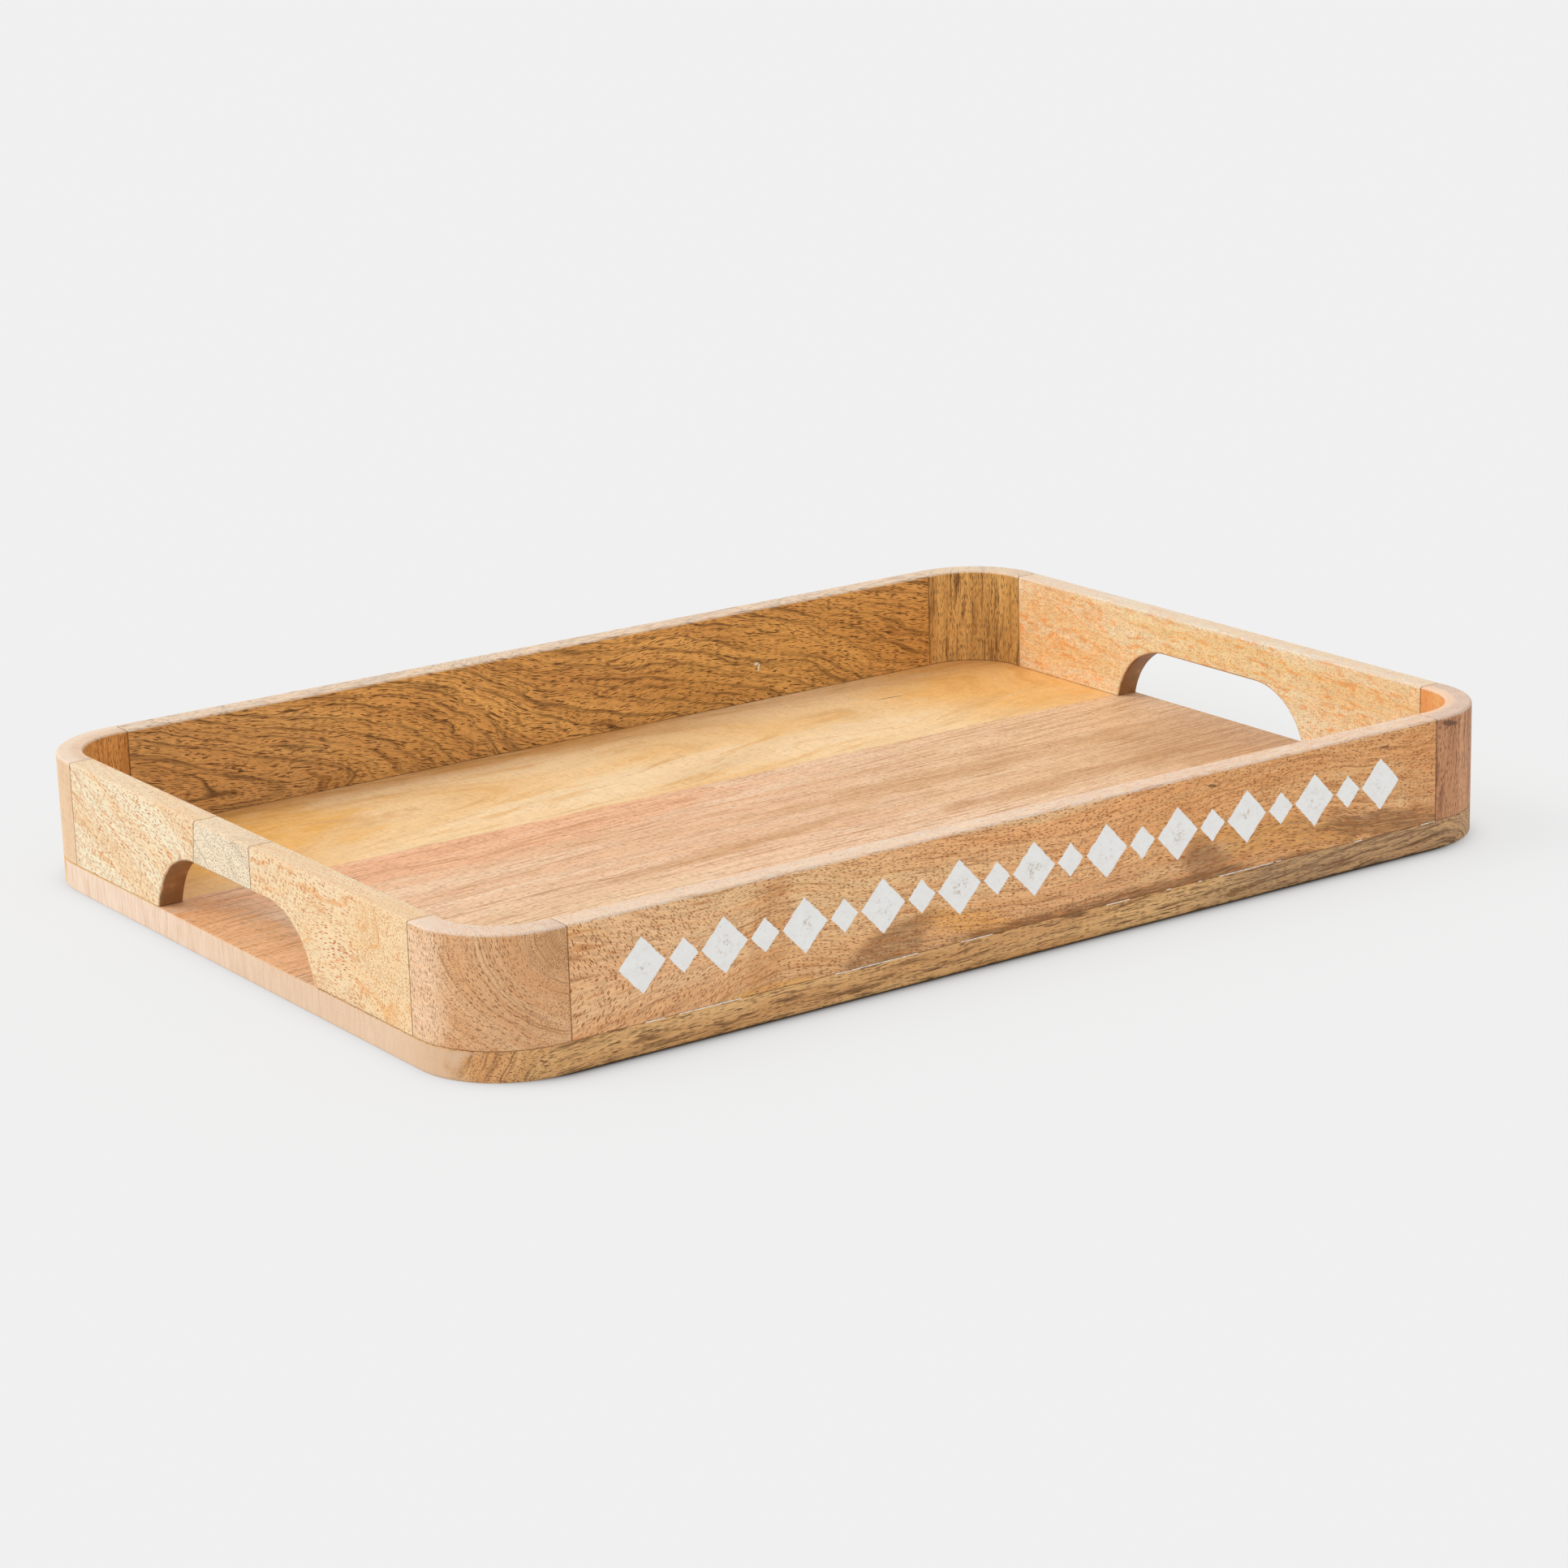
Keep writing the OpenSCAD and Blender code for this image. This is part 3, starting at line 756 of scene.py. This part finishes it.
def quarter(centre, radius, start, steps=ARC_STEPS):
    """Points of a quarter circle, from the start angle in degrees, anticlockwise"""
    points = []
    for step in range(steps + 1):
        angle = math.radians(start + 90 * step / steps)
        points.append((centre[0] + radius * math.cos(angle), centre[1] + radius * math.sin(angle)))
    return points


def cut_outline(outline, point, keep):
    """The part of an outline on the keep side of a straight line through the point"""
    kept = []
    for here, there in zip(outline, outline[1:] + outline[:1]):
        here_side = (here[0] - point[0]) * keep[0] + (here[1] - point[1]) * keep[1]
        there_side = (there[0] - point[0]) * keep[0] + (there[1] - point[1]) * keep[1]
        if here_side >= 0:
            kept.append(here)
        if here_side * there_side < 0:
            share = here_side / (here_side - there_side)
            kept.append((here[0] + share * (there[0] - here[0]),
                         here[1] + share * (there[1] - here[1])))
    return kept


def place_point(axis, point, height):
    """A point of an outline, set up along an axis"""
    if axis == "x":
        return (height, point[0], point[1])
    if axis == "y":
        return (point[0], height, point[1])
    return (point[0], point[1], height)


def keep_result(piece):
    """Applies a piece's modifiers"""
    bpy.context.view_layer.update()
    depsgraph = bpy.context.evaluated_depsgraph_get()
    finished = bpy.data.meshes.new_from_object(
        piece.evaluated_get(depsgraph), preserve_all_data_layers=True, depsgraph=depsgraph)
    piece.modifiers.clear()
    piece.data = finished
    return piece


def is_eased(a, b):
    """Whether an edge between two points is one that a hand touches: rim, foot or handle"""
    close = 0.01 * MM
    handle_end = 56 * MM
    on_rim = min(a.z, b.z) > RIM - close
    on_foot = max(a.z, b.z) < close
    middle = (a + b) / 2
    side = abs(middle.y) - HANDLE_FLAT
    reach = math.hypot(max(side, 0.0), middle.z - HANDLE_CENTRE)
    at_end = abs(middle.x) > HALF_LENGTH - WALL - close
    along_wall = abs(a.x - b.x) < close
    above_floor = middle.z > FLOOR_TOP + close
    in_handle = at_end and along_wall and above_floor and abs(middle.y) < handle_end
    on_handle = in_handle and abs(reach - HANDLE_RADIUS) < 0.1 * MM
    return on_rim or on_foot or on_handle


def make_board(name, axis, outline, low, high, material, cutter=None):
    """A board with this outline from low to high along an axis, its edges broken by hand"""
    form = bmesh.new()
    bottom = [form.verts.new(place_point(axis, point, low)) for point in outline]
    top = [form.verts.new(place_point(axis, point, high)) for point in outline]
    form.faces.new(bottom)
    form.faces.new(top)
    for here in range(len(outline)):
        there = (here + 1) % len(outline)
        form.faces.new((bottom[here], bottom[there], top[there], top[here]))
    bmesh.ops.recalc_face_normals(form, faces=form.faces[:])
    weight = form.edges.layers.float.new("bevel_weight_edge")
    for edge in form.edges:
        if edge.calc_face_angle(0.0) > SHARP:
            eased = is_eased(edge.verts[0].co, edge.verts[1].co)
            edge[weight] = 1.0 if eased else SEAM_EASE
    for face in form.faces:
        face.smooth = True
    mesh = bpy.data.meshes.new(name)
    form.to_mesh(mesh)
    form.free()
    piece = bpy.data.objects.new(name, mesh)
    bpy.context.scene.collection.objects.link(piece)
    mesh.materials.append(material)
    bevel = piece.modifiers.new("edges", "BEVEL")
    bevel.width = RIM_EASE
    bevel.segments = 3
    bevel.limit_method = "WEIGHT"
    bevel.use_clamp_overlap = False
    if cutter:
        pockets = piece.modifiers.new("pockets", "BOOLEAN")
        pockets.operation = "DIFFERENCE"
        pockets.object = cutter
        pockets.solver = "EXACT"
    piece.modifiers.new("shading", "WEIGHTED_NORMAL").keep_sharp = True
    return keep_result(piece)


def tray_outline(inset=0.0, steps=ARC_STEPS):
    """The tray's outline seen from above, or one that lies this far inside it"""
    outline = []
    for side_x, side_y, start in ((1, 1, 0), (-1, 1, 90), (-1, -1, 180), (1, -1, 270)):
        centre = (side_x * (HALF_LENGTH - CORNER_RADIUS), side_y * (HALF_WIDTH - CORNER_RADIUS))
        outline += quarter(centre, CORNER_RADIUS - inset, start, steps)
    return outline


def floor_outline(low, high):
    """The part of the tray's outline between two lines that run along it"""
    whole = tray_outline()
    if low > -HALF_WIDTH:
        whole = cut_outline(whole, (0, low), (0, 1))
    if high < HALF_WIDTH:
        whole = cut_outline(whole, (0, high), (0, -1))
    return whole


def block_outline(end, side):
    """A corner block seen from above. end and side are -1 or 1."""
    centre = (HALF_LENGTH - CORNER_RADIUS, HALF_WIDTH - CORNER_RADIUS)
    outer = [(HALF_LENGTH, SEAM_Y)] + quarter(centre, CORNER_RADIUS, 0) + [(SEAM_X, HALF_WIDTH)]
    inner = ([(HALF_LENGTH - WALL, SEAM_Y)] + quarter(centre, CORNER_RADIUS - WALL, 0)
             + [(SEAM_X, HALF_WIDTH - WALL)])
    outline = [(x * end, y * side) for x, y in outer + inner[::-1]]
    return outline if end * side > 0 else outline[::-1]


def end_outline():
    """An end wall with its handle opening, seen along the tray"""
    foot = math.degrees(math.asin((FLOOR_TOP - HANDLE_CENTRE) / HANDLE_RADIUS))
    arch = []
    for side, start in ((1, foot), (-1, 90)):
        for step in range(ARC_STEPS + 1):
            angle = math.radians(start + (90 - foot) * step / ARC_STEPS)
            y = side * HANDLE_FLAT + HANDLE_RADIUS * math.cos(angle)
            arch.append((y, HANDLE_CENTRE + HANDLE_RADIUS * math.sin(angle)))
    return ([(SEAM_Y, FLOOR_TOP), (SEAM_Y, RIM), (-SEAM_Y, RIM), (-SEAM_Y, FLOOR_TOP)]
            + arch[::-1])


# ---- Diamonds and filler, as geometry nodes ----

class Tree(Nodes):
    """A geometry node tree with named inputs"""

    def __init__(self, name, inputs):
        self.tree = bpy.data.node_groups.new(name, "GeometryNodeTree")
        face = self.tree.interface
        face.new_socket("Geometry", in_out="OUTPUT", socket_type="NodeSocketGeometry")
        self.keys = {}
        for label, (kind, value) in inputs.items():
            socket = face.new_socket(label, in_out="INPUT", socket_type=kind)
            if kind != "NodeSocketMaterial":
                socket.default_value = value
            self.keys[label] = socket.identifier
        self.given = self.tree.nodes.new("NodeGroupInput").outputs
        self.result = self.tree.nodes.new("NodeGroupOutput").inputs[0]

    def vector(self, x=0.0, y=0.0, z=0.0):
        return self.node("ShaderNodeCombineXYZ", {0: x, 1: y, 2: z})

    def grow(self, name, values):
        """The piece that the tree makes with these values"""
        piece = bpy.data.objects.new(name, bpy.data.meshes.new(name))
        bpy.context.scene.collection.objects.link(piece)
        modifier = piece.modifiers.new(name, "NODES")
        modifier.node_group = self.tree
        for label, value in values.items():
            modifier[self.keys[label]] = value
        return keep_result(piece)


def diamond_tree():
    """A row of cast diamonds with uneven edges, from the face of a wall down into it"""
    length = "NodeSocketFloat"
    tree = Tree("diamond_row", {
        "Count": ("NodeSocketInt", LARGE_COUNT),
        "Pitch": (length, 0.03),
        "Width": (length, 0.018),
        "Height": (length, 0.019),
        "Depth": (length, 0.002),
        "Face": (length, -0.15),
        "Row height": (length, 0.03),
        "Unevenness": (length, 0.0003),
        "Seed": (length, 1.0),
        "Resin": ("NodeSocketMaterial", None),
    })
    given = tree.given
    half_height = tree.math("MULTIPLY", given["Height"], 0.5)
    kite = tree.node("GeometryNodeCurvePrimitiveQuadrilateral", {
        "Width": given["Width"], "Bottom Height": half_height, "Top Height": half_height},
        mode="KITE")
    outline = tree.node("GeometryNodeResampleCurve", {"Curve": kite, "Count": 72})
    flat = tree.node("GeometryNodeFillCurve", {"Curve": outline})
    upright = tree.node("GeometryNodeTransform",
                        {"Geometry": flat, "Rotation": (math.radians(90), 0.0, 0.0)})
    steps = tree.math("SUBTRACT", given["Count"], 1)
    start = tree.math("MULTIPLY", tree.math("MULTIPLY", steps, given["Pitch"]), -0.5)
    row = tree.node("GeometryNodeMeshLine", {
        "Count": given["Count"],
        "Start Location": tree.vector(start, given["Face"], given["Row height"]),
        "Offset": tree.vector(given["Pitch"]),
    })
    rows = tree.node("GeometryNodeInstanceOnPoints", {"Points": row, "Instance": upright})
    plates = tree.node("GeometryNodeRealizeInstances", {"Geometry": rows})
    here = tree.node("GeometryNodeInputPosition", {})
    on_wall = tree.node("ShaderNodeVectorMath", {0: here, 1: (1.0, 0.0, 1.0)},
                        operation="MULTIPLY")
    wobble = tree.node("ShaderNodeTexNoise", {
        "Vector": on_wall, "W": given["Seed"], "Scale": 420.0, "Detail": 4.0,
        "Roughness": 0.7}, "Color", noise_dimensions="4D")
    centred = tree.node("ShaderNodeVectorMath", {0: wobble, 1: (0.5, 0.5, 0.5)},
                        operation="SUBTRACT")
    in_face = tree.node("ShaderNodeVectorMath", {0: centred, 1: (2.0, 0.0, 2.0)},
                        operation="MULTIPLY")
    offset = tree.node("ShaderNodeVectorMath", {0: in_face, "Scale": given["Unevenness"]},
                       operation="SCALE")
    plates = tree.node("GeometryNodeSetPosition", {"Geometry": plates, "Offset": offset})
    deep = tree.node("GeometryNodeExtrudeMesh", {
        "Mesh": plates, "Offset": tree.vector(0.0, given["Depth"], 0.0),
        "Offset Scale": 1.0, "Individual": False})
    lid = tree.node("GeometryNodeFlipFaces", {"Mesh": plates})
    both = tree.node("GeometryNodeJoinGeometry", {0: deep})
    tree.link(lid, both.node.inputs[0])
    closed = tree.node("GeometryNodeMergeByDistance", {"Geometry": both, "Distance": 0.01 * MM})
    whole = tree.node("GeometryNodeRealizeInstances", {"Geometry": closed})
    done = tree.node("GeometryNodeSetMaterial", {"Geometry": whole, "Material": given["Resin"]})
    tree.link(done, tree.result)
    return tree


def crumb_tree():
    """A broken line of filler crumbs along a joint"""
    length = "NodeSocketFloat"
    tree = Tree("crumb_line", {
        "Count": ("NodeSocketInt", 600),
        "Start": ("NodeSocketVector", (-0.18, -0.15, 0.01)),
        "Step": (length, 0.0006),
        "Long": (length, 0.0006),
        "Deep": (length, 0.0001),
        "Tall": (length, 0.0002),
        "Gaps": (length, 0.5),
        "Seed": ("NodeSocketInt", 1),
        "Filler": ("NodeSocketMaterial", None),
    })
    given = tree.given
    row = tree.node("GeometryNodeMeshLine", {
        "Count": given["Count"], "Start Location": given["Start"],
        "Offset": tree.vector(given["Step"])})
    points = tree.node("GeometryNodeMeshToPoints", {"Mesh": row})
    here = tree.node("GeometryNodeInputPosition", {})
    patches = tree.node("ShaderNodeTexNoise",
                        {"Vector": here, "Scale": 55.0, "Detail": 3.0, "Roughness": 0.6})
    bare = tree.math("LESS_THAN", patches, given["Gaps"])
    points = tree.node("GeometryNodeDeleteGeometry", {"Geometry": points, "Selection": bare})
    ball = tree.node("GeometryNodeMeshIcoSphere", {"Radius": 1.0, "Subdivisions": 2})
    size = tree.node("FunctionNodeRandomValue", {2: 0.3, 3: 1.0, "Seed": given["Seed"]}, 1)
    crumb_size = tree.vector(tree.math("MULTIPLY", size, given["Long"]), given["Deep"],
                             tree.math("MULTIPLY", size, given["Tall"]))
    crumbs = tree.node("GeometryNodeInstanceOnPoints",
                       {"Points": points, "Instance": ball, "Scale": crumb_size})
    whole = tree.node("GeometryNodeRealizeInstances", {"Geometry": crumbs})
    done = tree.node("GeometryNodeSetMaterial", {"Geometry": whole, "Material": given["Filler"]})
    tree.link(done, tree.result)
    return tree


def make_crumbs(filler):
    """White filler left in the joint between the front wall and the floor boards"""
    deep = 0.13 * MM
    step = 0.5 * MM
    crumbs = crumb_tree().grow("filler_crumbs", {
        "Count": int(2 * SEAM_X / step),
        "Start": (-SEAM_X, deep - HALF_WIDTH, FLOOR_TOP),
        "Step": step,
        "Long": 0.8 * MM,
        "Deep": deep,
        "Tall": 0.34 * MM,
        "Gaps": 0.53,
        "Seed": 5,
        "Filler": filler,
    })
    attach(crumbs, "root")


def face_outwards(piece, turned=False):
    """Turns a piece to the back if asked, and makes its faces point outwards"""
    form = bmesh.new()
    form.from_mesh(piece.data)
    if turned:
        bmesh.ops.rotate(form, verts=form.verts[:], matrix=Matrix.Rotation(math.pi, 3, "Z"))
    bmesh.ops.recalc_face_normals(form, faces=form.faces[:])
    form.to_mesh(piece.data)
    form.free()
    return piece


def ease_resin(piece):
    """Softens the edge where a diamond meets the wood"""
    bevel = piece.modifiers.new("edges", "BEVEL")
    bevel.width = RESIN_EASE
    bevel.segments = 2
    bevel.limit_method = "ANGLE"
    bevel.angle_limit = math.radians(60)
    return keep_result(piece)


def ride_as(piece, slot, *nodes):
    """Puts a piece in the place of its nodes"""
    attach(piece, "root")
    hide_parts(*nodes)


def diamond_values(box, count, seed, resin):
    """What the diamond tree needs for a row whose first diamond fills this box"""
    return {
        "Count": count,
        "Pitch": DIAMOND_PITCH,
        "Width": box[1].x - box[0].x,
        "Height": box[1].z - box[0].z,
        "Depth": box[1].y - box[0].y,
        "Face": box[0].y,
        "Row height": (box[0].z + box[1].z) / 2,
        "Unevenness": 0.8 * MM,
        "Seed": seed,
        "Resin": resin,
    }


def make_diamonds(resin):
    """The diamonds of both long sides, and what cuts their pockets"""
    tree = diamond_tree()
    cutters = {}
    sizes = {"large": (LARGE_DIAMOND, LARGE_COUNT), "small": (SMALL_DIAMOND, SMALL_COUNT)}
    for side, seed in (("front", 3.0), ("back", 8.0)):
        for size, (box, count) in sizes.items():
            values = diamond_values(box, count, seed, resin)
            name = f"{side}_diamonds_{size}"
            diamonds = tree.grow(name, values)
            diamonds = ease_resin(face_outwards(diamonds, side == "back"))
            nodes = [f"{side}_inlay_{size}_{index + 1}" for index in range(count)]
            ride_as(diamonds, "inlay", *nodes)
            values["Face"] -= CUTTER_PAST
            values["Depth"] += CUTTER_PAST
            cutter = face_outwards(tree.grow(name + "_cutter", values), side == "back")
            cutters[side, size] = cutter
    for side in ("front", "back"):
        both = join_meshes(f"{side}_cutter", cutters[side, "large"], cutters[side, "small"])
        cutters[side] = both
    return cutters


def join_meshes(name, *pieces):
    """One piece made of several, which are then removed"""
    form = bmesh.new()
    for piece in pieces:
        form.from_mesh(piece.data)
        bpy.data.objects.remove(piece)
    mesh = bpy.data.meshes.new(name)
    form.to_mesh(mesh)
    form.free()
    joined = bpy.data.objects.new(name, mesh)
    bpy.context.scene.collection.objects.link(joined)
    return joined


# ---- The tray ----

def make_boards(woods, cutters):
    """The floor boards, the walls and the corner blocks"""
    def board(node, axis, outline, low, high, wood_name, slot, cutter=None):
        piece = make_board(node + "_eased", axis, outline, low, high, woods[wood_name], cutter)
        ride_as(piece, slot, node)

    for place, low, high in (("back", FLOOR_SEAM, HALF_WIDTH),
                             ("middle", -FLOOR_SEAM, FLOOR_SEAM),
                             ("front", -HALF_WIDTH, -FLOOR_SEAM)):
        outline = floor_outline(low, high)
        name = "floor_" + place
        board("floor_board_" + place, "z", outline, 0.0, FLOOR_TOP, name, name)

    long_side = [(-SEAM_X, FLOOR_TOP), (SEAM_X, FLOOR_TOP), (SEAM_X, RIM), (-SEAM_X, RIM)]
    board("front_wall", "y", long_side, -HALF_WIDTH, WALL - HALF_WIDTH, "front_wall",
          "front_wall", cutters["front"])
    board("back_wall", "y", long_side, HALF_WIDTH - WALL, HALF_WIDTH, "back_wall",
          "back_wall", cutters["back"])

    whole = end_outline()
    outer, inner = -HALF_LENGTH, WALL - HALF_LENGTH
    board("right_end_wall", "x", whole, -inner, -outer, "right_end", "right_end")
    lean = (BACK_SEAM_FOOT_Y - BACK_SEAM_TOP_Y, RIM - FLOOR_TOP)
    seam_foot = (BACK_SEAM_FOOT_Y, FLOOR_TOP)
    to_back = (lean[1], lean[0])
    to_front = (-lean[1], -lean[0])
    back = cut_outline(whole, seam_foot, to_back)
    front = cut_outline(whole, (FRONT_SEAM_Y, 0), (-1, 0))
    middle = cut_outline(cut_outline(whole, (FRONT_SEAM_Y, 0), (1, 0)), seam_foot, to_front)
    board("left_end_board_back", "x", back, outer, inner, "left_end_back", "left_end")
    board("left_end_board_middle", "x", middle, outer, inner, "left_end_middle",
          "left_end_middle")
    board("left_end_board_front", "x", front, outer, inner, "left_end_front", "left_end")

    for side_name, side in (("front", -1), ("back", 1)):
        for end_name, end in (("left", -1), ("right", 1)):
            board(f"corner_block_{side_name}_{end_name}", "z", block_outline(end, side),
                  FLOOR_TOP, RIM, f"block_{side_name}_{end_name}", "corner_block")


def finish_dowels(woods):
    """Gives the hidden dowels their wood"""
    for node in ("corner_dowels", "floor_dowels"):
        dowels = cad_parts[node]
        for slot in dowels.material_slots:
            slot.material = woods["dowel"]


# ---- Setting ----

PAPER_GREY = 0.15
PAPER_GLOW = 0.707
CONTACT_REACH = 3.2       # mm over which the contact shadow fades
END_INSET = 6 * MM        # how far in from the tray's ends the contact shadow stays
FLOOR_REACH = 30.0        # metres from the tray's middle to the end of the studio floor
FLOOR_OPENING = 2 * MM    # how far in from the tray's foot the studio floor ends
FLOOR_STEPS = 8           # straight pieces in a quarter circle of its opening

SKY_STRENGTH = 0.80
WINDOW_STRENGTH = 1.27
WINDOW_SPREAD = math.radians(35)
WINDOW_SIDE = Vector((-1.0, 0.75, 1.3))

CAMERA_LENS = 95.2
CAMERA_SENSOR = 36.0
CAMERA_CLIP = 200.0
CAMERA_PLACE = Vector((-0.8074, -1.1747, 0.4337))
CAMERA_RIGHT = Vector((0.8168, -0.5762, -0.0288))
CAMERA_UP = Vector((0.1816, 0.2095, 0.9608))


def make_paper():
    """Grey paper that looks pale. Its glow stands for fill light from all around, which is lost
    where the tray stands on it."""
    paper = Recipe("pale_floor")
    reach = paper.corner_reach(HALF_LENGTH - END_INSET, HALF_WIDTH)
    gap = paper.add(reach, -CORNER_RADIUS * MM_PER_M)
    lost = paper.math("EXPONENT", paper.times(paper.math("MAXIMUM", gap, 0.0), -1 / CONTACT_REACH))
    glow = paper.times(paper.math("SUBTRACT", 1.0, lost), PAPER_GLOW)
    return paper.show({
        "Base Color": (PAPER_GREY, PAPER_GREY, PAPER_GREY, 1.0),
        "Roughness": 1.0,
        "Specular IOR Level": 0.0,
        "Emission Color": (1.0, 1.0, 1.0, 1.0),
        "Emission Strength": glow,
    })


def make_floor():
    """A wide floor, left open under the tray so that its underside can be seen from below"""
    mesh = bpy.data.meshes.new("studio_floor")
    near = tray_outline(FLOOR_OPENING, FLOOR_STEPS)
    far = [Vector(point).normalized() * FLOOR_REACH for point in near]
    corners = [(x, y, 0) for x, y in near + far]
    count = len(near)
    faces = []
    for here in range(count):
        there = (here + 1) % count
        faces.append((here, here + count, there + count, there))
    mesh.from_pydata(corners, [], faces)
    floor = bpy.data.objects.new("studio_floor", mesh)
    bpy.context.scene.collection.objects.link(floor)
    mesh.materials.append(make_paper())


def make_light():
    """Even light from all around, and a wide soft window on the left"""
    world = bpy.data.worlds.new("studio")
    bpy.context.scene.world = world
    world.use_nodes = True
    background = world.node_tree.nodes["Background"]
    background.inputs["Color"].default_value = (1.0, 1.0, 1.0, 1.0)
    background.inputs["Strength"].default_value = SKY_STRENGTH
    lamp = bpy.data.lights.new("window_light", "SUN")
    lamp.energy = WINDOW_STRENGTH
    lamp.angle = WINDOW_SPREAD
    sun = bpy.data.objects.new("window_light", lamp)
    sun.rotation_euler = WINDOW_SIDE.to_track_quat("Z", "Y").to_euler()
    bpy.context.scene.collection.objects.link(sun)


def make_camera():
    """A long lens that looks down on the tray over its front left corner"""
    data = bpy.data.cameras.new("camera")
    data.lens = CAMERA_LENS
    data.sensor_width = CAMERA_SENSOR
    data.clip_end = CAMERA_CLIP
    camera = bpy.data.objects.new("camera", data)
    back = CAMERA_RIGHT.cross(CAMERA_UP).normalized()
    right = CAMERA_UP.cross(back).normalized()
    up = back.cross(right)
    turn = Matrix((right, up, back)).transposed().to_4x4()
    camera.matrix_world = Matrix.Translation(CAMERA_PLACE) @ turn
    bpy.context.scene.collection.objects.link(camera)
    bpy.context.scene.camera = camera


bpy.context.scene.view_settings.view_transform = "Standard"
make_camera()
make_floor()
make_light()
woods = make_woods()
resin = make_resin()
cutters = make_diamonds(resin)
make_crumbs(resin)
make_boards(woods, cutters)
for side in ("front", "back"):
    bpy.data.objects.remove(cutters[side])
finish_dowels(woods)
